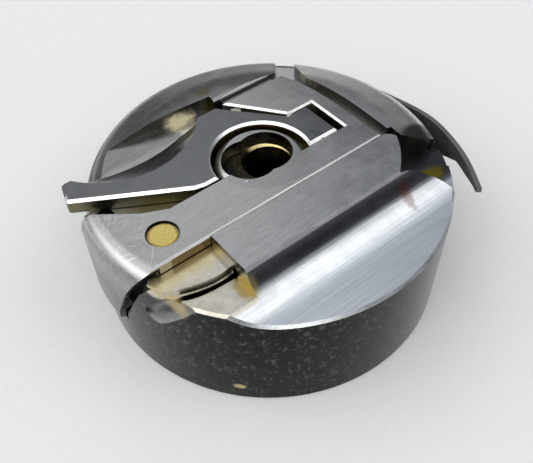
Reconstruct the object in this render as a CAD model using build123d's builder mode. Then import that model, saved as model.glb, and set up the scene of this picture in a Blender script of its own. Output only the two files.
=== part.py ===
"""Bobbin case of a small lockstitch sewing machine.

The case stands on its open rim (z = 0) with its closed face up.
+X is the way the latch slide travels when the latch is opened, and +Z points out of the closed face.
Each sub-part is built in place and exported under its own name.
"""
import os
from math import cos, radians, sin

from build123d import *

os.makedirs("parts", exist_ok=True)

# ---- driving dimensions, millimetres ----
CASE_R = 11.0            # outside of the cylindrical wall
CHAMBER_R = 10.15        # bobbin chamber
FACE_Z = 9.4             # closed face, top of slide and lever
CEILING_Z = 6.8          # underside of the closed end
FLOOR_Z = 8.45           # floor of the slide channel
RUN = 0.05               # sliding and vertical play
BEVEL = 0.15             # broken edges of body and slide
LEVER_BEVEL = 0.15
SLIDE_BEVEL = 0.12
PLATE_T = FACE_Z - FLOOR_Z - RUN

# shoulder that falls from the face to the wall: a wide arc, a straight slope and a tight arc
SHOULDER_FLAT_R = 6.0
SHOULDER_WIDE_R = 6.5
SHOULDER_SLOPE = 20
SHOULDER_TIGHT_R = 2.0
SHOULDER_DROP = 2.8

# slide channel and the raised band beside it
CHANNEL_Y0 = -3.35
CHANNEL_Y1 = 5.7
CHANNEL_X1 = 6.73
RECESS_X1 = -9.5         # finger recess under the lever's end
RECESS_Y1 = 7.1
WINDOW_KEEP_Y1 = 3.0     # the wall keeps its full height up to here, beside the slide's window
BAND_Y0 = -6.3
BAND_END_R = 7.65
SCOOP_R = 3.0
SCOOP_BOTTOM_Z = 7.4
UNDERCUT = 0.40
RIB_Z0 = 8.72
RIB_Z1 = 9.02

# thread pocket beside the band
POCKET_X = -6.45
POCKET_TONGUE_Z = 8.65
POCKET_FLOOR_Z = 8.1
POCKET_Y0 = -7.2
SLOT_TUCK = 0.35
SLOT_OPEN_X = -9.3
LEAD_R = 1.15            # rounded thread lead-in on the wall

# centre post and spindle bore
BORE_R = 1.45
SPIGOT_R = 2.1
POST_R = 2.95
POST_END_Z = 0.6

# latch
TRAVEL = 0.6             # slide travel, latch closed to latch open
SLIDE_Y0 = -3.3
SLIDE_Y1 = 5.1
SLIDE_X1 = 5.97
EYE_R = 1.64             # both lobes of the keyhole eye
EYE_LOCK_X = -0.24       # this lobe's far edge grips the neck of the machine's spindle
EYE_REAR_X = -1.38
HINGE_X = 3.15
HINGE_Z = (FACE_Z + FLOOR_Z + RUN) / 2
HINGE_PIN_R = 0.3
HINGE_PIN_Y1 = 3.1
RING_X = -0.65
RING_Y = -0.2
RING_R = 2.70
RING_SLOPE = 0.45
LEVER_ARC_R = 2.95
TAB_X1 = 4.33
TAB_Y0 = -1.22
TAB_Y1 = 1.64
NOTCH_X1 = 4.85
NOTCH_GAP = 0.06
TOE_X = 0.85             # cam toe, measured from the hinge
TOE_DROP = 0.28
HEEL_WALL = TRAVEL - 0.75  # body wall the toe bears on, measured from the hinge
THUMB_X = -5.87          # thumb scoop: its sides slope from a small circle above to a large one below
THUMB_TOP_Y = 7.9
THUMB_TOP_R = 5.2
THUMB_LOW_Y = 14.04
THUMB_LOW_R = 9.47

# bent end of the slide, which wraps down through the wall
BENT_R = 11.4
BENT_INNER_R = 11.05
BENT_LOW_Z = 3.2
LIP_R = 10.45
LIP_T = 0.7

# guide stud
STUD_X = -8.31
STUD_Y = -1.62
STUD_TOP_R = 0.82
STUD_SHANK_R = 0.55
STUD_HEAD_R = 0.95
STUD_HEAD_T = 0.45
STUD_NECK_R = 0.7
STUD_SEAT_Z = 8.8
STUD_TOP_Z = 9.27
STUD_FOOT_Z = 6.98

# latch spring, lying in a groove under the slide
SPRING_Y = -2.3
SPRING_X0 = 2.55
SPRING_X1 = 5.75
SPRING_COIL_R = 0.36
SPRING_WIRE_R = 0.06
SPRING_TURNS = 9
SPRING_WIRE_SIDES = 10
SPRING_Z = 7.87

# tension spring leaf and its screws, placed by angle around the wall
LEAF_T = 0.32
LEAF_GAP = 0.02
LEAF_Z0 = 2.7
LEAF_Z1 = 7.2
LEAF_END_ANGLE = 76
FIX_SCREW_ANGLE = 66
ADJUST_SCREW_ANGLE = 34
SCREW_Z = 4.4
SCREW_THREAD_R = 0.6
SCREW_PLAY = 0.03
SCREW_HEAD_R = 1.15
SCREW_HEAD_T = 0.65
SCREW_SLOT = 0.3

LEAF_R0 = CASE_R + LEAF_GAP
LEAF_R1 = LEAF_R0 + LEAF_T
# the free end stands off from the wall: angle and inner radius
LEAF_FREE_END = ((10, LEAF_R0), (-2, 11.3), (-12, 11.72), (-22, 11.9), (-32, 12.08), (-39, 12.2),
                 (-44.5, 12.36))


def polar(angle, radius):
    """Plan point at an angle (degrees) and radius."""
    return (radius * cos(radians(angle)), radius * sin(radians(angle)))


def radial_plane(angle, radius, height):
    """Plane whose normal points straight out of the wall."""
    turn = radians(angle)
    outward = (cos(turn), sin(turn), 0)
    return Plane(origin=(radius * cos(turn), radius * sin(turn), height), x_dir=(0, 0, 1), z_dir=outward)


# ---- cutters for the case body ----
with BuildPart() as shoulder_cutter:
    with BuildSketch(Plane.XZ):
        with BuildLine():
            top = (SHOULDER_FLAT_R, FACE_Z)
            rim = (CASE_R, FACE_Z - SHOULDER_DROP)
            wide = CenterArc((SHOULDER_FLAT_R, FACE_Z - SHOULDER_WIDE_R), SHOULDER_WIDE_R, 90, -SHOULDER_SLOPE)
            tight = CenterArc((CASE_R - SHOULDER_TIGHT_R, rim[1]), SHOULDER_TIGHT_R, 0, 90 - SHOULDER_SLOPE)
            Line(wide @ 1, tight @ 1)
            Polyline(rim, (CASE_R + 1, rim[1]), (CASE_R + 1, FACE_Z + 1), (SHOULDER_FLAT_R, FACE_Z + 1), top)
        make_face()
    revolve(axis=Axis.Z)
    # the band, the pocket and the wall round the bent end of the slide keep their full height
    with BuildSketch(Plane.XY.offset(CEILING_Z - 1)):
        Polygon((-13, WINDOW_KEEP_Y1), (-7, WINDOW_KEEP_Y1), (-7, CHANNEL_Y0), (CHANNEL_X1, CHANNEL_Y0),
                (7.0, -5), (13, -9), (13, -13), (-13, -13), align=None)
    extrude(amount=6, mode=Mode.SUBTRACT)

with BuildPart() as scoop_cutter:
    scoop_centre_z = SCOOP_BOTTOM_Z + SCOOP_R
    reach = (SCOOP_R**2 - (scoop_centre_z - FACE_Z + BEVEL) ** 2) ** 0.5
    scoop_centre_y = BAND_Y0 - reach
    with BuildSketch(Plane.YZ.offset(-13)):
        with BuildLine():
            low = (scoop_centre_y, SCOOP_BOTTOM_Z)
            mid = (scoop_centre_y + SCOOP_R * sin(radians(32)), scoop_centre_z - SCOOP_R * cos(radians(32)))
            ThreePointArc((BAND_Y0, FACE_Z - BEVEL), mid, low)
            Polyline(low, (-13, SCOOP_BOTTOM_Z), (-13, FACE_Z + 1), (BAND_Y0 + BEVEL, FACE_Z + 1),
                     (BAND_Y0 + BEVEL, FACE_Z), (BAND_Y0, FACE_Z - BEVEL))
        make_face()
    extrude(amount=26)

with BuildPart() as notch_cutter:
    # clearance notch between the band, the scoop and the right-hand shoulder
    with BuildSketch(Plane.XY.offset(CEILING_Z + 0.45)):
        with BuildLine():
            near = Spline((4.6, -6.25), (6.0, -6.6), (7.1, -7.4), (7.35, -9.0))
            far = Spline((CHANNEL_X1, -3.4), (7.76, -4.22), (9.3, -4.6), (10.4, -3.85), (11.6, -2.6))
            Polyline(near @ 0, (3.0, -5.5), (5.0, -3.0), far @ 0)
            Polyline(near @ 1, (13, -11), (13, -2.6), far @ 1)
        make_face()
        Circle(BAND_END_R, mode=Mode.SUBTRACT)
        # rounded corner of the band beside the channel
        Polygon((5.8, -3.0), (5.8, -3.3), (6.15, -3.42), (6.42, -3.65), (6.56, -3.95), (7.1, -4.0),
                (7.1, -3.0), align=None)
    extrude(amount=4)

with BuildPart() as thread_slot_cutter:
    # step below the tongue
    with BuildSketch(Plane.XY.offset(POCKET_FLOOR_Z)):
        with BuildLine():
            tongue = Spline((-11.4, -3.4), (-10.35, -4.15), (-8.8, -4.85), (-7.3, -5.15), (POCKET_X, -5.08))
            Polyline(tongue @ 1, (POCKET_X, POCKET_Y0 - 1.2), (-11.4, POCKET_Y0 - 1.2), tongue @ 0)
        make_face()
    extrude(amount=4)
    # the slot runs through to the chamber and reaches a little way under the band
    with BuildSketch(Plane.XY.offset(CEILING_Z - 0.5)):
        with BuildLine():
            upper = Spline((-10.2, -4.32), (-8.8, -4.91), (-7.3, -5.2), (POCKET_X + SLOT_TUCK, -5.08))
            lower = Spline((-10.2, -4.32), (-9.2, -5.12), (-7.9, -5.42), (POCKET_X + SLOT_TUCK, -5.55))
            Line(upper @ 1, lower @ 1)
        make_face()
    extrude(amount=2.35)
    # its near end is only a shallow groove
    with Locations((SLOT_OPEN_X, -4, CEILING_Z - 0.5)):
        Box(3, 3, POCKET_FLOOR_Z - CEILING_Z + 0.2, align=(Align.MAX, Align.CENTER, Align.MIN),
            mode=Mode.SUBTRACT)

with BuildPart() as thread_lead_cutter:
    # rounded thread lead-in on the outside of the wall
    lead_top = (-10.15, -6.41, 9.0)
    lead_low = (-11.33, -3.7, 6.05)
    with BuildLine() as lead_path:
        Line(lead_top, lead_low)
    with BuildSketch(Plane(origin=lead_top, z_dir=lead_path.line % 0)):
        Circle(LEAD_R)
    sweep(path=lead_path.line)
    with Locations(lead_low):
        Sphere(LEAD_R)

with BuildPart() as window_cutter:
    # tapered window for the bent end of the slide, wider on the outside of the wall
    with BuildSketch(Plane.YZ.offset(-12)):
        Polygon((-3.45, FLOOR_Z + 1), (-3.0, 8.35), (-2.25, 7.0), (-0.8, 4.0), (-0.6, BENT_LOW_Z - 0.4),
                (2.75, BENT_LOW_Z - 0.4), (2.75, FLOOR_Z + 1), align=None)
    extrude(amount=2.8)
    with BuildSketch(Plane.YZ.offset(-12)):
        Polygon((-3.6, FLOOR_Z), (-3.4, 8.2), (-2.5, 7.0), (-0.95, 4.0), (0, 3.6), (0, FLOOR_Z), align=None)
    extrude(amount=1.75)

# ---- case body ----
with BuildPart() as case_body:
    with BuildSketch():
        Circle(CASE_R)
    extrude(amount=FACE_Z)
    with BuildSketch():
        Circle(CHAMBER_R)
    extrude(amount=CEILING_Z, mode=Mode.SUBTRACT)
    rim_edges = case_body.edges().filter_by(GeomType.CIRCLE).group_by(Axis.Z)[0]
    chamfer(rim_edges, length=0.12)
    add(shoulder_cutter.part, mode=Mode.SUBTRACT)
    add(scoop_cutter.part, mode=Mode.SUBTRACT)
    # pocket beside the band
    with BuildSketch(Plane.XY.offset(POCKET_TONGUE_Z)):
        with Locations((POCKET_X, CHANNEL_Y0 + 0.1)):
            Rectangle(8, CHANNEL_Y0 - POCKET_Y0 + 0.1, align=(Align.MAX, Align.MAX))
    extrude(amount=4, mode=Mode.SUBTRACT)
    add(thread_slot_cutter.part, mode=Mode.SUBTRACT)
    add(thread_lead_cutter.part, mode=Mode.SUBTRACT)
    # slide channel, finger recess and the far end of the channel
    with BuildSketch(Plane.XY.offset(FLOOR_Z)):
        with BuildLine():
            ThreePointArc((CHANNEL_X1, 0.4), (6.6, 2.1), (6.3, 3.9))
            Polyline((6.3, 3.9), (6.3, 5.9), (5.1, CHANNEL_Y1), (0.2, CHANNEL_Y1), (0.2, 6.2),
                     (RECESS_X1, RECESS_Y1), (-13, RECESS_Y1), (-13, CHANNEL_Y0), (CHANNEL_X1, CHANNEL_Y0),
                     (CHANNEL_X1, 0.4))
        make_face()
    extrude(amount=4, mode=Mode.SUBTRACT)
    # undercuts that hold the slide down
    with BuildSketch(Plane.XY.offset(RIB_Z0 - RUN)):
        Polygon((-6.1, 0), (-6.1, CHANNEL_Y0 - UNDERCUT), (5.7, CHANNEL_Y0 - UNDERCUT),
                (5.7, CHANNEL_Y1 + UNDERCUT), (0.6, CHANNEL_Y1 + UNDERCUT), (0.6, 0), align=None)
    extrude(amount=RIB_Z1 - RIB_Z0 + 2 * RUN, mode=Mode.SUBTRACT)
    # open slot between the two rear shoulders
    with BuildSketch(Plane.XY.offset(SCOOP_BOTTOM_Z)):
        Polygon((5.0, 5.5), (8.2, 9.4), (9.9, 9.4), (7.2, 6.1), (6.3, 3.9), align=None)
    extrude(amount=4, mode=Mode.SUBTRACT)
    add(notch_cutter.part, mode=Mode.SUBTRACT)
    add(window_cutter.part, mode=Mode.SUBTRACT)
    # thread slot in the wall, from the notch to under the tension spring
    with BuildSketch(radial_plane(-14, CHAMBER_R - 0.1, 0)):
        Polygon((4.7, -1.3), (5.2, -1.4), (7.3, 1.9), (7.6, 2.6), (7.1, 2.5), align=None)
    extrude(amount=2, mode=Mode.SUBTRACT)
    # seat of the centre post
    with BuildSketch():
        Circle(SPIGOT_R)
    extrude(amount=FACE_Z, mode=Mode.SUBTRACT)
    # pit for the cam toe of the lever
    with BuildSketch(Plane.XY.offset(FLOOR_Z - 1.0)):
        with Locations((HINGE_X + HEEL_WALL, (TAB_Y0 + TAB_Y1) / 2)):
            Rectangle(NOTCH_X1 - HINGE_X - HEEL_WALL, TAB_Y1 - TAB_Y0 + 0.1, align=(Align.MIN, Align.CENTER))
    extrude(amount=2, mode=Mode.SUBTRACT)
    # spring groove, with room for the slide's spring lug at its near end
    with BuildSketch(Plane.XY.offset(SPRING_Z - SPRING_COIL_R - 0.13)):
        with Locations(((SPRING_X0 - 0.75 + SPRING_X1) / 2, SPRING_Y)):
            Rectangle(SPRING_X1 - SPRING_X0 + 0.75, 2 * SPRING_COIL_R + 0.3)
    extrude(amount=3, mode=Mode.SUBTRACT)
    # slot for the guide stud, wider below for its head
    with BuildSketch(Plane.XY.offset(CEILING_Z - 0.5)):
        with Locations((STUD_X + TRAVEL / 2, STUD_Y)):
            SlotCenterToCenter(TRAVEL, 2 * (STUD_SHANK_R + 0.06))
    extrude(amount=4, mode=Mode.SUBTRACT)
    with BuildSketch(Plane.XY.offset(CEILING_Z - 0.5)):
        with Locations((STUD_X + TRAVEL / 2, STUD_Y)):
            SlotCenterToCenter(TRAVEL, 2 * (STUD_HEAD_R + 0.08))
    extrude(amount=1.2, mode=Mode.SUBTRACT)
    # tapped holes for the two spring screws
    for angle in (FIX_SCREW_ANGLE, ADJUST_SCREW_ANGLE):
        with BuildSketch(radial_plane(angle, CHAMBER_R - 0.5, SCREW_Z)):
            Circle(SCREW_THREAD_R + SCREW_PLAY)
        extrude(amount=2, mode=Mode.SUBTRACT)
    # broken edges: beside the slide, round the scoop and round the pocket floor
    with BuildSketch(Plane.YZ.offset(0.2)):
        Polygon((CHANNEL_Y1 - 0.1, FACE_Z - BEVEL - 0.1), (CHANNEL_Y1 + BEVEL + 0.1, FACE_Z + 0.1),
                (CHANNEL_Y1 - 0.1, FACE_Z + 0.1), align=None)
    extrude(amount=4.9, mode=Mode.SUBTRACT)
    wall_edges = case_body.edges().filter_by(GeomType.CIRCLE).filter_by(lambda e: abs(e.radius - CASE_R) < 0.01)
    scoop_rim = wall_edges.filter_by(lambda e: SCOOP_BOTTOM_Z - 0.01 < e.center().Z < POCKET_FLOOR_Z + 0.01)
    chamfer(scoop_rim, length=BEVEL)
case_body.part.label = "case_body"
export_step(case_body.part, "parts/case_body.step")

# ---- centre post: carries the bobbin and runs on the machine's spindle ----
with BuildPart() as centre_post:
    with BuildSketch(Plane.XY.offset(POST_END_Z)):
        Circle(POST_R)
    extrude(amount=CEILING_Z - POST_END_Z)
    with BuildSketch(Plane.XY.offset(CEILING_Z)):
        Circle(SPIGOT_R)
    extrude(amount=FLOOR_Z - CEILING_Z)
    with BuildSketch(Plane.XY.offset(POST_END_Z)):
        Circle(BORE_R)
    extrude(amount=FACE_Z, mode=Mode.SUBTRACT)
    chamfer(centre_post.edges().group_by(Axis.Z)[0], length=0.25)
    chamfer(centre_post.edges().group_by(Axis.Z)[-1].sort_by(SortBy.RADIUS)[0], length=0.15)
centre_post.part.label = "centre_post"
export_step(centre_post.part, "parts/centre_post.step")

# ---- latch slide: keyhole plate, bent end and spring lug ----
with BuildPart() as bent_end:
    # section of the bend, revolved to follow the wall
    with BuildSketch(Plane.XZ):
        with BuildLine():
            Polyline((9.4, FACE_Z - PLATE_T), (9.4, FACE_Z), (10.25, FACE_Z))
            ThreePointArc((10.25, FACE_Z), (11.05, FACE_Z - 0.42), (BENT_R, FACE_Z - 1.4))
            Line((BENT_R, FACE_Z - 1.4), (BENT_R, BENT_LOW_Z + 0.25))
            ThreePointArc((BENT_R, BENT_LOW_Z + 0.25), (BENT_R - 0.08, BENT_LOW_Z + 0.08),
                          (BENT_R - 0.25, BENT_LOW_Z))
            Polyline((BENT_R - 0.25, BENT_LOW_Z), (LIP_R, BENT_LOW_Z), (LIP_R, BENT_LOW_Z + LIP_T),
                     (BENT_INNER_R, BENT_LOW_Z + LIP_T), (BENT_INNER_R, FACE_Z - 1.9))
            ThreePointArc((BENT_INNER_R, FACE_Z - 1.9), (10.92, FACE_Z - 1.35), (10.5, FACE_Z - PLATE_T))
            Line((10.5, FACE_Z - PLATE_T), (9.4, FACE_Z - PLATE_T))
        make_face()
    revolve(axis=Axis.Z)
    # only the tapered tongue of the ring is kept
    with BuildSketch(Plane.YZ.offset(-13)):
        Polygon((SLIDE_Y0, FACE_Z + 1), (SLIDE_Y0, 9.2), (-2.0, 7.0), (-0.6, 4.0), (-0.4, BENT_LOW_Z - 1),
                (2.4, BENT_LOW_Z - 1), (2.4, FACE_Z + 1), align=None)
    extrude(amount=5, mode=Mode.INTERSECT)

with BuildPart() as latch_slide:
    with BuildSketch(Plane.XY.offset(FACE_Z - PLATE_T)):
        Polygon((-9.6, SLIDE_Y0), (SLIDE_X1, SLIDE_Y0), (SLIDE_X1, 0.6), (5.87, 2.3), (5.62, 3.8),
                (5.15, SLIDE_Y1),
                (0.45, SLIDE_Y1), (2.95, TAB_Y1 + NOTCH_GAP + 0.1), (3.3, TAB_Y1 + NOTCH_GAP),
                (NOTCH_X1, TAB_Y1 + NOTCH_GAP), (NOTCH_X1, TAB_Y0 - NOTCH_GAP), (1.3, TAB_Y0 - NOTCH_GAP),
                (0, -2.0), (-2.5, -1.3), (-2.85, -0.25), (-7.0, -0.25), (-8.4, 0.42), (-9.6, 1.4), align=None)
    extrude(amount=PLATE_T)
    add(bent_end.part)
    # the plate's shoulder runs on at a slant into the bend
    with BuildSketch(Plane.XY.offset(FACE_Z - PLATE_T)):
        Polygon((-8.4, 0.42), (-10.75, 2.27), (-10.75, 2.6), (-8.4, 2.6), align=None)
    extrude(amount=2, mode=Mode.SUBTRACT)
    # broken edges: along the band and the bend in one cut, then round the rest of the plate
    with BuildSketch(Plane.YZ.offset(-13)):
        Polygon((SLIDE_Y0 - 0.1, FACE_Z - SLIDE_BEVEL - 0.1), (SLIDE_Y0 + SLIDE_BEVEL + 0.1, FACE_Z + 0.1),
                (SLIDE_Y0 - 0.1, FACE_Z + 0.1), align=None)
    extrude(amount=20, mode=Mode.SUBTRACT)
    straight = latch_slide.edges().filter_by(GeomType.LINE)
    outline = straight.filter_by(lambda e: abs(e.center().Z - FACE_Z) < 0.001)
    chamfer(outline.filter_by(lambda e: e.length > 0.3 and e.center().Y > SLIDE_Y0 + 1), length=SLIDE_BEVEL)
    # ring round the eye, its outer edge sloping down beside the lever
    with BuildSketch(Plane.XY.offset(FACE_Z - PLATE_T)):
        with Locations((RING_X, RING_Y)):
            Circle(RING_R)
    extrude(amount=PLATE_T - RING_SLOPE)
    with BuildSketch(Plane.XY.offset(FACE_Z - RING_SLOPE)):
        with Locations((RING_X, RING_Y)):
            Circle(RING_R)
    extrude(amount=RING_SLOPE, taper=45)
    # keyhole eye
    with BuildSketch(Plane.XY.offset(FLOOR_Z)):
        with Locations((EYE_LOCK_X, 0), (EYE_REAR_X, 0)):
            Circle(EYE_R)
    extrude(amount=2, mode=Mode.SUBTRACT)
    # ribs that run in the undercuts of the body
    with BuildSketch(Plane.XY.offset(RIB_Z0)):
        with Locations((-0.2, SLIDE_Y0)):
            Rectangle(9.6, 2 * (UNDERCUT - 0.02))
        with Locations((2.7, SLIDE_Y1)):
            Rectangle(3.9, 2 * (CHANNEL_Y1 + UNDERCUT - RUN - SLIDE_Y1))
    extrude(amount=RIB_Z1 - RIB_Z0)
    # lug that the latch spring pushes
    with BuildSketch(Plane.XY.offset(SPRING_Z - SPRING_COIL_R)):
        with Locations((SPRING_X0, SPRING_Y)):
            Rectangle(0.5, 2 * SPRING_COIL_R, align=(Align.MAX, Align.CENTER))
    extrude(amount=FACE_Z - PLATE_T - SPRING_Z + SPRING_COIL_R)
    # hinge pin hole
    with BuildSketch(Plane.XZ.offset(-HINGE_PIN_Y1)):
        with Locations((HINGE_X, HINGE_Z)):
            Circle(HINGE_PIN_R)
    extrude(amount=8, mode=Mode.SUBTRACT)
    # stud hole, wider above for the stud's head
    with BuildSketch(Plane.XY.offset(FLOOR_Z)):
        with Locations((STUD_X, STUD_Y)):
            Circle(STUD_NECK_R)
    extrude(amount=2, mode=Mode.SUBTRACT)
    with BuildSketch(Plane.XY.offset(STUD_SEAT_Z)):
        with Locations((STUD_X, STUD_Y)):
            Circle(STUD_TOP_R + 0.1)
    extrude(amount=2, mode=Mode.SUBTRACT)
latch_slide.part.label = "latch_slide"
export_step(latch_slide.part, "parts/latch_slide.step")

# ---- latch lever: finger end on the left, cam tab on the right ----
with BuildPart() as thumb_cutter:
    with BuildSketch(Plane.XY.offset(FACE_Z - PLATE_T)):
        with Locations((THUMB_X, THUMB_LOW_Y)):
            Circle(THUMB_LOW_R)
    with BuildSketch(Plane.XY.offset(FACE_Z)):
        with Locations((THUMB_X, THUMB_TOP_Y)):
            Circle(THUMB_TOP_R)
    loft()

with BuildPart() as latch_lever:
    with BuildSketch(Plane.XY.offset(FACE_Z - PLATE_T)):
        Polygon((-11.15, 3.64), (-5.1, 0.08), (-4.5, -0.08), (-3.0, -0.08), (0, 0), (2.0, TAB_Y0),
                (TAB_X1, TAB_Y0),
                (TAB_X1, TAB_Y1), (2.85, TAB_Y1), (-0.15, SLIDE_Y1), (-10.7, SLIDE_Y1), align=None)
        with Locations((RING_X, RING_Y)):
            Circle(LEVER_ARC_R, mode=Mode.SUBTRACT)
    extrude(amount=PLATE_T)
    fillet(latch_lever.edges().filter_by(Axis.Z).sort_by(Axis.X)[0:2], radius=0.25)
    chamfer(latch_lever.faces().sort_by(Axis.Z)[-1].edges(), length=LEVER_BEVEL)
    add(thumb_cutter.part, mode=Mode.SUBTRACT)
    # cam toe under the tab
    with BuildSketch(Plane.XY.offset(FACE_Z - PLATE_T - TOE_DROP)):
        with Locations((TAB_X1, (TAB_Y0 + TAB_Y1) / 2)):
            Rectangle(TAB_X1 - HINGE_X - TOE_X, TAB_Y1 - TAB_Y0, align=(Align.MAX, Align.CENTER))
    extrude(amount=PLATE_T)
    with BuildSketch(Plane.XZ.offset(-HINGE_PIN_Y1)):
        with Locations((HINGE_X, HINGE_Z)):
            Circle(HINGE_PIN_R + 0.03)
    extrude(amount=8, mode=Mode.SUBTRACT)
latch_lever.part.label = "latch_lever"
export_step(latch_lever.part, "parts/latch_lever.step")

# ---- hinge pin of the lever ----
with BuildPart() as lever_hinge_pin:
    with BuildSketch(Plane.XZ.offset(-HINGE_PIN_Y1)):
        with Locations((HINGE_X, HINGE_Z)):
            Circle(HINGE_PIN_R)
    extrude(amount=HINGE_PIN_Y1 - SLIDE_Y0 - 0.04)
lever_hinge_pin.part.label = "lever_hinge_pin"
export_step(lever_hinge_pin.part, "parts/lever_hinge_pin.step")

# ---- guide stud, riveted in the slide and running in the slot of the body ----
with BuildPart() as guide_stud:
    with BuildSketch(Plane.XZ.offset(-STUD_Y)):
        with BuildLine():
            Polyline((STUD_X, STUD_FOOT_Z), (STUD_X + STUD_HEAD_R, STUD_FOOT_Z),
                     (STUD_X + STUD_HEAD_R, STUD_FOOT_Z + STUD_HEAD_T),
                     (STUD_X + STUD_SHANK_R, STUD_FOOT_Z + STUD_HEAD_T),
                     (STUD_X + STUD_SHANK_R, FACE_Z - PLATE_T), (STUD_X + STUD_NECK_R, FACE_Z - PLATE_T),
                     (STUD_X + STUD_NECK_R, STUD_SEAT_Z), (STUD_X + STUD_TOP_R, STUD_SEAT_Z),
                     (STUD_X + STUD_TOP_R, STUD_TOP_Z), (STUD_X, STUD_TOP_Z), (STUD_X, STUD_FOOT_Z))
        make_face()
    revolve(axis=Axis((STUD_X, STUD_Y, 0), (0, 0, 1)))
guide_stud.part.label = "guide_stud"
export_step(guide_stud.part, "parts/guide_stud.step")

# ---- latch spring ----
with BuildPart() as latch_spring:
    coil_length = SPRING_X1 - SPRING_X0 - 2 * SPRING_WIRE_R - 0.02
    coil_radius = SPRING_COIL_R - SPRING_WIRE_R
    with BuildLine() as coil:
        Helix(pitch=coil_length / SPRING_TURNS, height=coil_length, radius=coil_radius,
              center=(SPRING_X0 + SPRING_WIRE_R + 0.01, SPRING_Y, SPRING_Z), direction=(1, 0, 0))
    with BuildSketch(Plane(origin=coil.line @ 0, z_dir=coil.line % 0)):
        RegularPolygon(SPRING_WIRE_R, SPRING_WIRE_SIDES)
    sweep(path=coil.line)
latch_spring.part.label = "latch_spring"
export_step(latch_spring.part, "parts/latch_spring.step")

# ---- tension spring: leaf round the wall, free end standing off to a curled tip ----
with BuildPart() as tension_spring:
    with BuildSketch(Plane.XY.offset(LEAF_Z0)):
        with BuildLine():
            inner = [polar(angle, radius) for angle, radius in LEAF_FREE_END]
            outer = [polar(angle, radius + LEAF_T) for angle, radius in LEAF_FREE_END]
            ThreePointArc(polar(LEAF_END_ANGLE, LEAF_R0), polar(40, LEAF_R0), inner[0])
            Spline(*inner)
            Line(inner[-1], outer[-1])
            Spline(*outer)
            ThreePointArc(outer[0], polar(40, LEAF_R1), polar(LEAF_END_ANGLE, LEAF_R1))
            Line(polar(LEAF_END_ANGLE, LEAF_R1), polar(LEAF_END_ANGLE, LEAF_R0))
        make_face()
    extrude(amount=LEAF_Z1 - LEAF_Z0)
    # the free end narrows to its tip
    with BuildSketch(radial_plane(-28, CASE_R - 2, 0)):
        Polygon((0, -3), (LEAF_Z0, -3), (5.4, -1.6), (6.35, 0.2), (6.5, 1.6), (6.85, 3.0), (7.0, 5), (7.0, 7),
                (0, 7), align=None)
    extrude(amount=6, mode=Mode.SUBTRACT)
    for angle in (FIX_SCREW_ANGLE, ADJUST_SCREW_ANGLE):
        with BuildSketch(radial_plane(angle, CASE_R - 1, SCREW_Z)):
            Circle(SCREW_THREAD_R + 0.08)
        extrude(amount=3, mode=Mode.SUBTRACT)
tension_spring.part.label = "tension_spring"
export_step(tension_spring.part, "parts/tension_spring.step")


# ---- the two spring screws ----
def spring_screw(angle):
    """Slotted cheese-head screw through the leaf into the wall, on a radial axis."""
    with BuildPart() as screw:
        with BuildSketch(radial_plane(angle, CHAMBER_R + 0.08, SCREW_Z)):
            Circle(SCREW_THREAD_R)
        extrude(amount=LEAF_R1 - CHAMBER_R)
        with BuildSketch(radial_plane(angle, LEAF_R1 + 0.02, SCREW_Z)):
            Circle(SCREW_HEAD_R)
        extrude(amount=SCREW_HEAD_T)
        outward = Axis((0, 0, SCREW_Z), radial_plane(angle, 0, 0).z_dir)
        chamfer(screw.faces().sort_by(outward)[-1].edges(), length=0.12)
        with BuildSketch(radial_plane(angle, LEAF_R1 + SCREW_HEAD_T - 0.28, SCREW_Z)):
            Rectangle(3 * SCREW_HEAD_R, SCREW_SLOT, rotation=20)
        extrude(amount=1, mode=Mode.SUBTRACT)
    return screw


leaf_screw = spring_screw(FIX_SCREW_ANGLE)
leaf_screw.part.label = "leaf_screw"
export_step(leaf_screw.part, "parts/leaf_screw.step")

tension_screw = spring_screw(ADJUST_SCREW_ANGLE)
tension_screw.part.label = "tension_screw"
export_step(tension_screw.part, "parts/tension_screw.step")
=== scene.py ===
"""Looks of the bobbin case: procedural metals, studio light and the camera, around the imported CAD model."""
import math

import bpy
from mathutils import Euler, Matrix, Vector


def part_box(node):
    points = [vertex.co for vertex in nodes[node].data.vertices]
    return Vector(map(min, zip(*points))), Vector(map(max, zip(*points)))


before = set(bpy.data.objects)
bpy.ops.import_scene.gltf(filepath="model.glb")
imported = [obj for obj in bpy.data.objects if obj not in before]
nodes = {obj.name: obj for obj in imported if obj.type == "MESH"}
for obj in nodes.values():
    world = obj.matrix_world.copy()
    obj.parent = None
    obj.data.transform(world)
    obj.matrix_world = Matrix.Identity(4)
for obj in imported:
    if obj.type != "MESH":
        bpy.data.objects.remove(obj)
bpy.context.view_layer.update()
MM = 0.001


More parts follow.
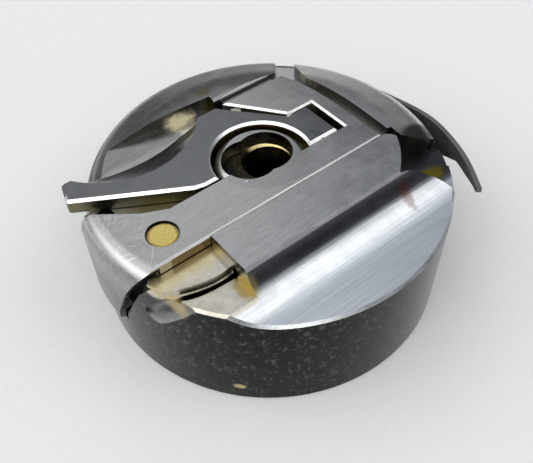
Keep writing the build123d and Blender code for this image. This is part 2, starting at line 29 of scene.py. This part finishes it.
# ---- shader graphs ----
class Graph:
    """A material's node tree, with short calls for the nodes used here. Lengths are in millimetres."""

    def __init__(self, name):
        self.material = bpy.data.materials.new(name)
        self.material.use_nodes = True
        self.tree = self.material.node_tree
        self.shader = self.tree.nodes["Principled BSDF"]
        self.coord = self.tree.nodes.new("ShaderNodeTexCoord")
        self.position = self.vector("SCALE", self.coord.outputs["Object"], scale=1 / MM)

    def add(self, kind, **settings):
        made = self.tree.nodes.new(kind)
        for key, value in settings.items():
            setattr(made, key, value)
        return made

    def put(self, value, socket):
        """Links a socket, or sets a plain value."""
        if isinstance(value, bpy.types.NodeSocket):
            self.tree.links.new(value, socket)
        else:
            socket.default_value = value

    def vector(self, operation, first, second=None, scale=None):
        made = self.add("ShaderNodeVectorMath", operation=operation)
        self.put(first, made.inputs[0])
        if second is not None:
            self.put(second, made.inputs[1])
        if scale is not None:
            made.inputs["Scale"].default_value = scale
        return made.outputs["Value" if operation == "LENGTH" else "Vector"]

    def math(self, operation, first, second=None):
        made = self.add("ShaderNodeMath", operation=operation)
        self.put(first, made.inputs[0])
        if second is not None:
            self.put(second, made.inputs[1])
        return made.outputs[0]

    def sum(self, first, second):
        return self.math("ADD", first, second)

    def without(self, mask):
        """The opposite of a mask."""
        return self.math("SUBTRACT", 1.0, mask)

    def ramp(self, value, low, high, out_low=0.0, out_high=1.0):
        """value between low and high, eased to between out_low and out_high."""
        made = self.add("ShaderNodeMapRange", interpolation_type="SMOOTHSTEP")
        for key, v in (("Value", value), ("From Min", low), ("From Max", high), ("To Min", out_low),
                       ("To Max", out_high)):
            self.put(v, made.inputs[key])
        return made.outputs["Result"]

    def above(self, value, edge):
        """Mask: 0 below the edge, which is a pair of values, and 1 above it."""
        return self.ramp(value, *edge)

    def below(self, value, edge):
        """Mask: 1 below the edge, which is a pair of values, and 0 above it."""
        return self.ramp(value, *edge, 1.0, 0.0)

    def band(self, value, low, high, soft):
        """Mask: 1 while value lies between low and high."""
        return self.both(self.above(value, (low - soft, low + soft)), self.below(value, (high - soft, high + soft)))

    def both(self, *masks):
        """Mask: 1 where every mask is."""
        joined = masks[0]
        for mask in masks[1:]:
            joined = self.math("MULTIPLY", joined, mask)
        return joined

    def spot(self, centre, radii, soft=0.35, ragged=0.0):
        """Ellipsoid mask: 1 inside, 0 outside, with a soft and perhaps ragged edge."""
        away = self.vector("DIVIDE", self.vector("SUBTRACT", self.position, centre), radii)
        reach = self.vector("LENGTH", away)
        if ragged:
            wander = self.noise(0.45, detail=5, rough=0.7, offset=centre)
            reach = self.sum(reach, self.math("MULTIPLY", self.math("SUBTRACT", wander, 0.5), ragged))
        return self.below(reach, (1 - soft, 1 + soft))

    def noise(self, size, stretch=(1, 1, 1), turn=0.0, detail=4.0, rough=0.6, warp=0.0, offset=(0, 0, 0)):
        """Noise whose features are about size mm, drawn out along an axis turned about Z by turn degrees."""
        turned = self.add("ShaderNodeVectorRotate", rotation_type="Z_AXIS")
        self.put(self.position, turned.inputs["Vector"])
        turned.inputs["Angle"].default_value = math.radians(turn)
        squeezed = self.vector("DIVIDE", turned.outputs["Vector"], tuple(size * s for s in stretch))
        made = self.add("ShaderNodeTexNoise", noise_dimensions="3D")
        self.put(self.vector("ADD", squeezed, offset), made.inputs["Vector"])
        for key, value in (("Scale", 1.0), ("Detail", detail), ("Roughness", rough), ("Distortion", warp)):
            made.inputs[key].default_value = value
        return made.outputs["Fac"]

    def colour(self, factor, first, second):
        made = self.add("ShaderNodeMix", data_type="RGBA")
        self.put(factor, made.inputs["Factor"])
        for value, socket in ((first, made.inputs["A"]), (second, made.inputs["B"])):
            self.put(value if isinstance(value, bpy.types.NodeSocket) else (*value, 1), socket)
        return made.outputs["Result"]

    def mix(self, factor, first, second):
        made = self.add("ShaderNodeMix", data_type="FLOAT")
        for value, key in ((factor, "Factor"), (first, "A"), (second, "B")):
            self.put(value, made.inputs[key])
        return made.outputs["Result"]

    def axis(self, letter, source=None):
        """One component of the position in mm, or of source."""
        made = self.add("ShaderNodeSeparateXYZ")
        self.put(source or self.position, made.inputs[0])
        return made.outputs[letter]

    def facing(self, letter):
        """Component of the surface normal, in the piece's own axes."""
        return self.axis(letter, self.coord.outputs["Normal"])

    def radius(self, x=0.0, y=0.0):
        """Distance in mm from an upright axis."""
        flat = self.vector("MULTIPLY", self.vector("SUBTRACT", self.position, (x, y, 0)), (1, 1, 0))
        return self.vector("LENGTH", flat)

    def bump(self, height, depth):
        """Bump from a height of 0 to 1, depth mm deep."""
        made = self.add("ShaderNodeBump")
        self.put(height, made.inputs["Height"])
        made.inputs["Distance"].default_value = depth * MM
        return made.outputs["Normal"]

    def tint(self, mask, colour, strength=1.0):
        """Lays a colour over the base colour, where the mask is."""
        if strength < 1:
            mask = self.math("MULTIPLY", mask, strength)
        self.base = self.colour(mask, self.base, colour)

    def lay_stain_or_light(self, name):
        """Lays one patch from the table of stains and painted light, which holds stains, a painted shadow and
        painted highlights.
        """
        centre, radii, colour, strength, edge = STAINS_AND_PAINTED_LIGHT[name]
        self.tint(self.spot(centre, radii, **edge), colour, strength)

    def dull(self, mask, roughness):
        self.rough = self.mix(mask, self.rough, roughness)

    def close(self, depth):
        """Links colour, gloss and bump to the shader. depth is the bump's depth in mm."""
        self.put(self.base, self.shader.inputs["Base Color"])
        self.put(self.rough, self.shader.inputs["Roughness"])
        self.put(self.bump(self.height, depth), self.shader.inputs["Normal"])


def grey(level):
    return (level, level, level)


def steel(name, low, high, rough, grain=0.07, stretch=(1, 1, 1), turn=0.0, cloud=1.5, scratches=0.35):
    """Worked steel: mottled grey, fine drawn-out grain, crossing hair scratches and uneven gloss."""
    g = Graph(name)
    g.shader.inputs["Metallic"].default_value = 1.0
    mottle = g.noise(cloud, detail=6, warp=0.5)
    fine = g.noise(grain, stretch=stretch, turn=turn, detail=3)
    hair = g.noise(HAIR, stretch=(1, 60, 60), turn=turn + 38, detail=2)
    cross = g.noise(HAIR, stretch=(1, 50, 50), turn=turn - 47, detail=2, offset=(7, 3, 1))
    marks = g.math("MAXIMUM", g.above(hair, (0.66, 0.74)), g.above(cross, (0.68, 0.76)))
    tone = g.sum(g.math("MULTIPLY", mottle, 0.5), g.math("MULTIPLY", fine, 0.5))
    g.base = g.colour(g.above(tone, (0.36, 0.64)), low, high)
    g.tint(marks, tuple(min(1.0, MARK_GAIN * c) for c in high), scratches)
    g.rough = g.ramp(mottle, 0.3, 0.7, rough - 0.05, rough + 0.06)
    g.height = g.math("SUBTRACT", fine, g.math("MULTIPLY", marks, scratches))
    return g


def dress(node, graph, depth=0.004):
    """Closes a material and puts it on a CAD node. depth is the bump's depth in mm."""
    graph.close(depth)
    mesh = nodes[node].data
    mesh.materials.clear()
    mesh.materials.append(graph.material)


# ---- colours, in linear light ----
GOLD = (0.62, 0.52, 0.26)
OLIVE = (0.20, 0.17, 0.05)
BROWN = (0.10, 0.065, 0.02)
CREAM = (0.85, 0.80, 0.62)
# black painted as shade into the eye, the post's mouth and bore, and the thread slot
PAINTED_SHADE_BLACK = (0.006, 0.006, 0.006)
# near black painted along the scoop's top as a dark reflection
PAINTED_DARK_REFLECTION = (0.025, 0.025, 0.03)
HAIR = 0.035             # width of a hair scratch, mm
MARK_GAIN = 1.35         # scratches are this much brighter than the steel

# ---- places, in mm from the case's axis and rim; a pair is where a mask begins and ends ----
STEEP = (0.25, 0.45)     # upward part of the normal: steeper faces are below it
SHOULDER_Y = (4.9, 5.3)
FAR_SHOULDER_X, FAR_SHOULDER_Y = (6.3, 6.6), (-4.0, -3.0)
WALL_RADIUS, WALL_STEEP = (10.6, 10.95), (0.1, 0.5)
INNER_RADIUS = (10.2, 10.45)
MOUTH_RADIUS = (3.3, 3.4)
CHAMBER_TOP, CHAMBER_RADIUS = (6.75, 6.95), (10.2, 10.3)
SHELF_X, SHELF_Z = (-6.45, -6.40), (8.03, 8.07)
SCOOP_Y, SCOOP_TOP, SCOOP_DARK_Y = (-6.35, -6.25), (9.2, 9.35), (-6.95, -6.5)
POCKET_X, POCKET_Y = (-6.5, -6.4), (-3.1, -3.0)
POCKET_BOTTOM, POCKET_TOP = (7.9, 8.0), (9.0, 9.1)
SLOT_X, SLOT_Y, SLOT_TOP, SLOT_RADIUS = (-6.46, -6.40), (-7.22, -7.18), (7.95, 8.05), (10.7, 10.8)
RECESS_X, RECESS_Y, RECESS_BOTTOM, RECESS_TOP = (0.5, 0.8), (2.8, 3.0), 8.3, 8.6
SLIDE_BEND_X, SLIDE_BEND_Z = (-9.6, -7.2), (5.2, 8.6)
SLIDE_RING, SLIDE_RING_RADIUS = (-0.65, -0.2), (2.70, 2.75)
SLIDE_EYE, SLIDE_EYE_RADIUS = (-0.65, 0.0), (2.25, 2.35)
BEVEL_SLOPE = (0.55, 0.85, 0.06)      # upward part of the normal on broken edges, and its softness
THUMB_SCOOP, THUMB_RADIUS, THUMB_TOP = (-5.87, 14.04), (9.5, 9.6), (9.36, 9.385)
LEVER_FRONT_Y = (4.0, 4.2)
POST_MOUTH_Z, POST_BORE_Z, POST_BORE_RADIUS = (7.3, 7.9), (7.2, 7.6), (1.5, 1.6)

# stains, a painted shadow and painted highlights on the case: centre, radii, colour, strength, and how soft and
# ragged the edge is
STAINS_AND_PAINTED_LIGHT = {
    "wall fleck": ((-8.12, -7.41, 1.26), (0.35, 0.35, 0.22), GOLD, 0.9, {"ragged": 0.8}),
    "scoop heat": ((4.4, -6.8, 8.2), (0.35, 1.2, 0.8), (0.16, 0.06, 0.04), 0.55, {"ragged": 1.3}),
    "pocket corner": ((-6.5, -6.3, 8.1), (0.55, 0.8, 0.8), (0.50, 0.39, 0.14), 0.85, {"ragged": 0.9}),
    "lead groove": ((-10.1, -4.8, 7.6), (0.7, 0.8, 0.7), GOLD, 0.7, {"ragged": 0.5}),
    # a pale patch painted as a glint on the lead-in's rounded end
    "nose glint": ((-10.75, -3.75, 8.0), (0.45, 0.6, 0.35), (0.75, 0.74, 0.71), 0.8, {"ragged": 0.3}),
    "recess cream": ((-2.0, 6.6, 8.45), (1.0, 1.6, 0.6), CREAM, 0.8, {"ragged": 1.6}),
    "recess corner": ((0.2, 6.8, 8.6), (0.8, 0.7, 0.9), OLIVE, 0.85, {"ragged": 0.9}),
    # the shade cast by the lever on the floor beneath it, painted olive
    "lever shadow": ((-6.3, 1.2, 8.4), (1.8, 1.6, 0.7), OLIVE, 0.75, {"ragged": 0.7}),
    # a painted highlight in cream at the end of the shoulder
    "shoulder end highlight": ((6.6, 4.5, 9.2), (0.35, 1.4, 0.6), CREAM, 0.7, {"ragged": 0.6}),
    "notch": ((8.3, -4.9, 8.0), (2.2, 1.9, 1.5), (0.045, 0.045, 0.05), 0.93, {"soft": 0.12}),
    "notch olive": ((7.5, -6.2, 7.6), (1.3, 0.75, 0.5), (0.20, 0.165, 0.015), 0.95, {"soft": 0.25, "ragged": 0.6}),
}

# ---- case body: satin closed end, polished wall painted dark with a painted reflection, recesses with stains, painted shade and painted highlights ----
g = steel("case_steel", grey(0.30), grey(0.42), 0.30, stretch=(1, 14, 1), turn=90)
x, y, z = g.axis("X"), g.axis("Y"), g.axis("Z")
from_axis = g.radius()
up = g.facing("Z")
# shoulder behind the latch: darker, with turning lines that run along the slope
behind = g.above(y, SHOULDER_Y)
turned = g.noise(0.09, stretch=(30, 1, 30), turn=-6, detail=3)
g.tint(behind, grey(0.24), 0.6)
g.tint(g.both(behind, g.above(turned, (0.42, 0.62))), grey(0.13), 0.6)
g.tint(g.both(g.above(x, FAR_SHOULDER_X), g.above(y, FAR_SHOULDER_Y)), (0.70, 0.70, 0.69), 0.85)
# polished wall: painted dark with pale flecks, a painted reflection of dark cloth; faint rings from turning
wall = g.both(g.above(from_axis, WALL_RADIUS), g.below(up, WALL_STEEP))
rings = g.noise(0.05, stretch=(60, 60, 1), detail=2)
flecks = g.noise(0.34, stretch=(1, 1, 1.3), detail=7, rough=0.75)
g.tint(wall, grey(0.006))
g.tint(g.both(wall, g.above(rings, (0.52, 0.7))), grey(0.03), 0.6)
g.tint(g.both(wall, g.above(flecks, (0.52, 0.66))), grey(0.16), 0.6)
g.lay_stain_or_light("wall fleck")
g.dull(wall, 0.17)
# inner walls and the eye's surround are painted dark as shade, the mouth's far side gold where light falls on it,
# and the chamber is dark
g.tint(g.both(g.below(from_axis, INNER_RADIUS), g.below(up, STEEP)), (0.09, 0.08, 0.06), 0.85)
mouth = g.below(from_axis, MOUTH_RADIUS)
g.tint(mouth, PAINTED_SHADE_BLACK, 0.99)
g.tint(g.both(mouth, g.above(g.sum(x, y), (0.9, 2.0))), GOLD, 0.9)
g.tint(g.both(g.below(z, CHAMBER_TOP), g.below(from_axis, CHAMBER_RADIUS)), grey(0.25), 0.8)
# scoop: pale and brushed along its length, dark streaks along its top painted as a dark reflection, a reddish tint
# near its far end
shelf = g.both(g.below(x, SHELF_X), g.above(z, SHELF_Z))
scoop = g.both(g.below(y, SCOOP_Y), g.without(wall), g.without(shelf), g.below(z, SCOOP_TOP))
drawn = g.noise(0.10, stretch=(70, 1, 1), detail=4)
g.tint(scoop, (0.66, 0.69, 0.72), 0.9)
g.tint(g.both(scoop, g.above(drawn, (0.40, 0.62))), (0.44, 0.45, 0.46), 0.5)
streak = g.noise(0.16, stretch=(60, 1, 1), detail=3, offset=(0, 5, 0))
g.tint(g.both(scoop, g.above(g.sum(y, g.math("MULTIPLY", streak, 0.5)), SCOOP_DARK_Y)), PAINTED_DARK_REFLECTION, 0.9)
g.lay_stain_or_light("scoop heat")
# pocket: gold beside the slide and at the scoop end, pale grey between, a thread slot painted black as shade
pocket = g.both(g.below(x, POCKET_X), g.below(y, POCKET_Y), g.above(z, POCKET_BOTTOM), g.below(z, POCKET_TOP))
cloud = g.noise(0.5, detail=5, warp=0.8)
clouded = g.above(cloud, (0.35, 0.65))
g.tint(pocket, (0.60, 0.57, 0.50))
g.tint(g.both(pocket, clouded), (0.46, 0.43, 0.36), 0.7)
g.tint(g.both(pocket, g.above(g.sum(y, cloud), (-4.3, -3.2))), GOLD, 0.85)
g.lay_stain_or_light("pocket corner")
slot = g.both(g.below(x, SLOT_X), g.below(z, SLOT_TOP), g.above(y, SLOT_Y), g.below(from_axis, SLOT_RADIUS))
g.tint(slot, PAINTED_SHADE_BLACK, 0.95)
g.lay_stain_or_light("lead groove")
# a pale patch painted as a glint on the lead-in's rounded end
g.lay_stain_or_light("nose glint")
# finger recess: clouded grey, a cream spot and olive corners; beside it a painted shadow under the lever, a painted
# highlight at the end of the shoulder, and a dark and an olive patch in the notch
recess = g.both(g.above(y, RECESS_Y), g.below(x, RECESS_X), g.band(z, RECESS_BOTTOM, RECESS_TOP, 0.03))
g.tint(g.both(recess, clouded), grey(0.28), 0.6)
for name in ("recess cream", "recess corner", "lever shadow", "shoulder end highlight", "notch", "notch olive"):
    g.lay_stain_or_light(name)
dress("case_body", g)

# ---- latch slide: satin, with crossing scratches at its bent end; painted highlights on broken edges, painted shade on the bent end's lower part and in the eye ----
g = steel("slide_steel", grey(0.30), grey(0.39), 0.27, stretch=(20, 1, 1), scratches=0.5)
x, y, z = g.axis("X"), g.axis("Y"), g.axis("Z")
up = g.facing("Z")
hatch = g.math("MAXIMUM",
               g.above(g.noise(0.05, stretch=(45, 1, 45), turn=28, detail=2), (0.60, 0.70)),
               g.above(g.noise(0.05, stretch=(45, 1, 45), turn=-52, detail=2, offset=(3, 9, 4)), (0.62, 0.72)))
g.tint(g.both(g.below(x, SLIDE_BEND_X), hatch), grey(0.80), 0.6)
ring = g.both(g.below(g.radius(*SLIDE_RING), SLIDE_RING_RADIUS), g.above(up, (0.8, 0.95)))
g.tint(ring, grey(0.24), 0.35)
# broken edges painted pale as a highlight
g.tint(g.band(up, *BEVEL_SLOPE), (0.80, 0.80, 0.79), 0.6)
# the lower part of the bent end painted darker as shade
g.tint(g.below(z, SLIDE_BEND_Z), (0.16, 0.155, 0.15), 0.8)
# the eye painted black as shade, gold on its far side where light falls, brown along that side's top
eye = g.both(g.below(g.radius(*SLIDE_EYE), SLIDE_EYE_RADIUS), g.below(up, (0.3, 0.6)))
lit = g.above(g.sum(x, y), (-0.5, 0.9))
g.tint(eye, PAINTED_SHADE_BLACK, 0.99)
g.tint(g.both(eye, lit), GOLD, 0.95)
g.tint(g.both(eye, lit, g.above(z, (8.95, 9.05))), BROWN, 0.85)
sides = g.both(g.below(up, (0.2, 0.4)), g.above(x, (-9.0, -8.8)))
g.tint(g.both(sides, g.above(y, (1.0, 1.2))), CREAM, 0.7)
g.tint(g.both(sides, g.below(y, (-3.2, -3.1))), BROWN, 0.8)
dress("latch_slide", g)

# ---- latch lever: cooler grey, even fine grain, a thumb scoop painted dark as shade, a painted highlight on its bevel and front side faces painted olive and brown as shade ----
g = steel("lever_steel", (0.12, 0.124, 0.128), (0.185, 0.19, 0.197), 0.30, grain=0.05, cloud=1.1, scratches=0.25)
x, y, z = g.axis("X"), g.axis("Y"), g.axis("Z")
up = g.facing("Z")
front = g.below(y, LEVER_FRONT_Y)
scooped = g.both(g.below(g.radius(*THUMB_SCOOP), THUMB_RADIUS), g.below(z, THUMB_TOP))
# the thumb scoop painted dark as shade
g.tint(scooped, (0.065, 0.065, 0.068), 0.9)
# the front bevel painted pale as a highlight
g.tint(g.both(g.band(up, *BEVEL_SLOPE), front), (0.90, 0.90, 0.89), 0.9)
# front side faces painted olive and brown as shade
edge = g.both(g.band(up, -0.4, 0.3, 0.1), front)
g.tint(g.both(edge, g.noise(0.3)), OLIVE)
g.tint(g.both(edge, g.above(x, (-6.0, -4.0))), BROWN, 0.8)
dress("latch_lever", g)

# ---- brass guide stud: rings from riveting, stained round its edge ----
RING_RATE = 34.0         # radians of ring pattern per mm
STUD_EDGE = (0.80, 0.92)
g = steel("stud_brass", (0.42, 0.32, 0.09), (0.60, 0.48, 0.16), 0.24, grain=0.09, scratches=0.2)
stud_low, stud_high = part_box("guide_stud")
stud_middle = (stud_low + stud_high) / 2 / MM
from_stud = g.radius(stud_middle.x, stud_middle.y)
riveted = g.math("SINE", g.math("MULTIPLY", from_stud, RING_RATE))
g.tint(g.above(riveted, (0.2, 1.0)), (0.70, 0.58, 0.24), 0.35)
wavy = g.sum(from_stud, g.math("MULTIPLY", g.noise(0.3), 0.25))
g.tint(g.above(wavy, STUD_EDGE), (0.20, 0.13, 0.03), 0.8)
dress("guide_stud", g, 0.006)

# ---- centre post: mouth painted black as shade with gold where light falls on its far side, brown radial tool marks, bore painted black as shade ----
g = steel("post_steel", grey(0.42), (0.58, 0.58, 0.57), 0.28, stretch=(1, 1, 12))
x, y, z = g.axis("X"), g.axis("Y"), g.axis("Z")
mouth = g.above(z, POST_MOUTH_Z)
# the mouth painted black as shade, gold on its far side where light falls
g.tint(mouth, PAINTED_SHADE_BLACK, 0.99)
g.tint(g.both(mouth, g.above(g.sum(x, y), (0.9, 1.9))), GOLD, 0.95)
g.tint(g.both(mouth, g.above(g.noise(0.06, stretch=(1, 1, 40), detail=2), (0.5, 0.65))), BROWN, 0.6)
# the bore painted black as shade
g.tint(g.both(g.below(g.radius(), POST_BORE_RADIUS), g.below(z, POST_BORE_Z)), PAINTED_SHADE_BLACK, 0.9)
dress("centre_post", g)

# ---- springs, pin and screws ----
g = steel("leaf_steel", grey(0.10), grey(0.18), 0.36, stretch=(16, 16, 1), scratches=0.3)
g.tint(g.both(g.above(g.facing("Z"), (0.6, 0.8)), g.noise(0.4)), grey(0.20), 0.8)
g.shader.inputs["Metallic"].default_value = 0.6
dress("tension_spring", g, 0.003)
for piece, low, high, rough in (("latch_spring", (0.30, 0.29, 0.27), (0.48, 0.46, 0.42), 0.28),
                                ("lever_hinge_pin", grey(0.40), grey(0.60), 0.22),
                                ("leaf_screw", (0.24, 0.24, 0.25), (0.42, 0.42, 0.43), 0.26),
                                ("tension_screw", (0.24, 0.24, 0.25), (0.42, 0.42, 0.43), 0.26)):
    dress(piece, steel(piece + "_steel", low, high, rough, grain=0.05, cloud=0.6), 0.003)

# ---- floor: plain pale paper ----
FLOOR_SIDE = 1.2         # metres
bpy.ops.mesh.primitive_plane_add(size=FLOOR_SIDE, location=(0, 0, 0))
floor = bpy.context.object
floor.name = "floor"
g = Graph("floor_paper")
g.height = g.noise(0.6, detail=5, rough=0.7)
g.base = g.colour(g.height, (0.74, 0.74, 0.735), (0.80, 0.80, 0.795))
g.rough = 0.85
g.shader.inputs["Specular IOR Level"].default_value = 0.2
g.close(0.02)
floor.data.materials.append(g.material)

# ---- sky: grey, paler overhead, with soft boxes painted on it ----
SKY_LOW, SKY_HIGH, SKY_FULL = (0.12, 0.12, 0.125, 1), (0.33, 0.345, 0.375, 1), 0.95
# direction, cosine where the box begins and is full, radiance, colour
SOFT_BOXES = (((-0.62, 0.36, 0.70), 0.72, 0.97, 1.5, (1.0, 1.0, 1.0)),
              ((0.44, -0.48, 0.76), 0.90, 0.985, 1.7, (1.0, 1.0, 1.0)),
              ((-0.29, -0.70, 0.65), 0.90, 0.98, 1.7, (1.0, 0.99, 0.97)),
              ((-0.72, -0.36, 0.60), 0.86, 0.97, 1.5, (1.0, 0.99, 0.96)),
              ((0.42, 0.12, 0.90), 0.90, 0.99, 0.35, (0.90, 1.0, 1.10)),
              ((0.15, 0.60, 0.78), 0.82, 0.98, 0.18, (1.0, 1.0, 1.0)))
world = bpy.data.worlds.new("studio")
bpy.context.scene.world = world
bpy.context.scene.view_settings.view_transform = "Standard"
world.use_nodes = True
sky = world.node_tree
background = sky.nodes["Background"]
way = sky.nodes.new("ShaderNodeTexCoord").outputs["Generated"]


def sky_node(kind, values, **settings):
    """A node in the sky, with its inputs linked or set and its settings given."""
    made = sky.nodes.new(kind)
    for key, value in settings.items():
        setattr(made, key, value)
    for key, value in values.items():
        if isinstance(value, bpy.types.NodeSocket):
            sky.links.new(value, made.inputs[key])
        else:
            made.inputs[key].default_value = value
    return made


height = sky_node("ShaderNodeSeparateXYZ", {0: way}).outputs["Z"]
fade = sky_node("ShaderNodeMapRange", {"Value": height, "From Min": 0.0, "From Max": SKY_FULL}).outputs["Result"]
total = sky_node("ShaderNodeMix", {"Factor": fade, "A": SKY_LOW, "B": SKY_HIGH}, data_type="RGBA").outputs["Result"]
for toward, begins, full, radiance, colour in SOFT_BOXES:
    near = sky_node("ShaderNodeVectorMath", {0: way, 1: Vector(toward).normalized()}, operation="DOT_PRODUCT")
    glow = sky_node("ShaderNodeMapRange", {"Value": near.outputs["Value"], "From Min": begins, "From Max": full,
                                           "To Max": radiance}, interpolation_type="SMOOTHSTEP")
    tinted = sky_node("ShaderNodeVectorMath", {0: colour, "Scale": glow.outputs["Result"]}, operation="SCALE")
    total = sky_node("ShaderNodeVectorMath", {0: total, 1: tinted.outputs[0]}, operation="ADD").outputs[0]
sky.links.new(total, background.inputs["Color"])
background.inputs["Strength"].default_value = 1.0

# ---- lamp: a square one overhead, aimed at the middle of the case ----
LAMP_TOWARD = Vector((0.35, 0.75, 0.85)).normalized()
LAMP_DISTANCE, LAMP_SIDE, LAMP_POWER = 0.4, 0.16, 0.06      # metres, metres, watts
LAMP_TARGET = Vector((0, 0, 5 * MM))
lamp_data = bpy.data.lights.new("overhead", "AREA")
lamp_data.shape = "SQUARE"
lamp_data.size = LAMP_SIDE
lamp_data.energy = LAMP_POWER
lamp = bpy.data.objects.new("overhead", lamp_data)
bpy.context.scene.collection.objects.link(lamp)
lamp.location = LAMP_TARGET + LAMP_TOWARD * LAMP_DISTANCE
lamp.rotation_euler = (-LAMP_TOWARD).to_track_quat("-Z", "Y").to_euler()

# ---- camera: the photo's viewpoint ----
CAMERA_PLACE = Vector((-17.98, -22.94, 35.40)) * MM
CAMERA_PITCH, CAMERA_TURN, CAMERA_ROLL = 48.8, -37.7, -1.32    # degrees: down from level, about Z, about the view
SENSOR_WIDTH, LENS = 36, 45.11                                 # millimetres
NEAREST, FARTHEST = 0.001, 10                                  # metres
camera_data = bpy.data.cameras.new("camera")
camera = bpy.data.objects.new("camera", camera_data)
bpy.context.scene.collection.objects.link(camera)
bpy.context.scene.camera = camera
camera_data.sensor_width = SENSOR_WIDTH
camera_data.lens = LENS
camera_data.clip_start, camera_data.clip_end = NEAREST, FARTHEST
camera.location = CAMERA_PLACE
camera.rotation_mode = "QUATERNION"
look = Euler((math.radians(90 - CAMERA_PITCH), 0, math.radians(CAMERA_TURN)), "XYZ").to_quaternion()
camera.rotation_quaternion = look @ Euler((0, 0, math.radians(CAMERA_ROLL)), "XYZ").to_quaternion()
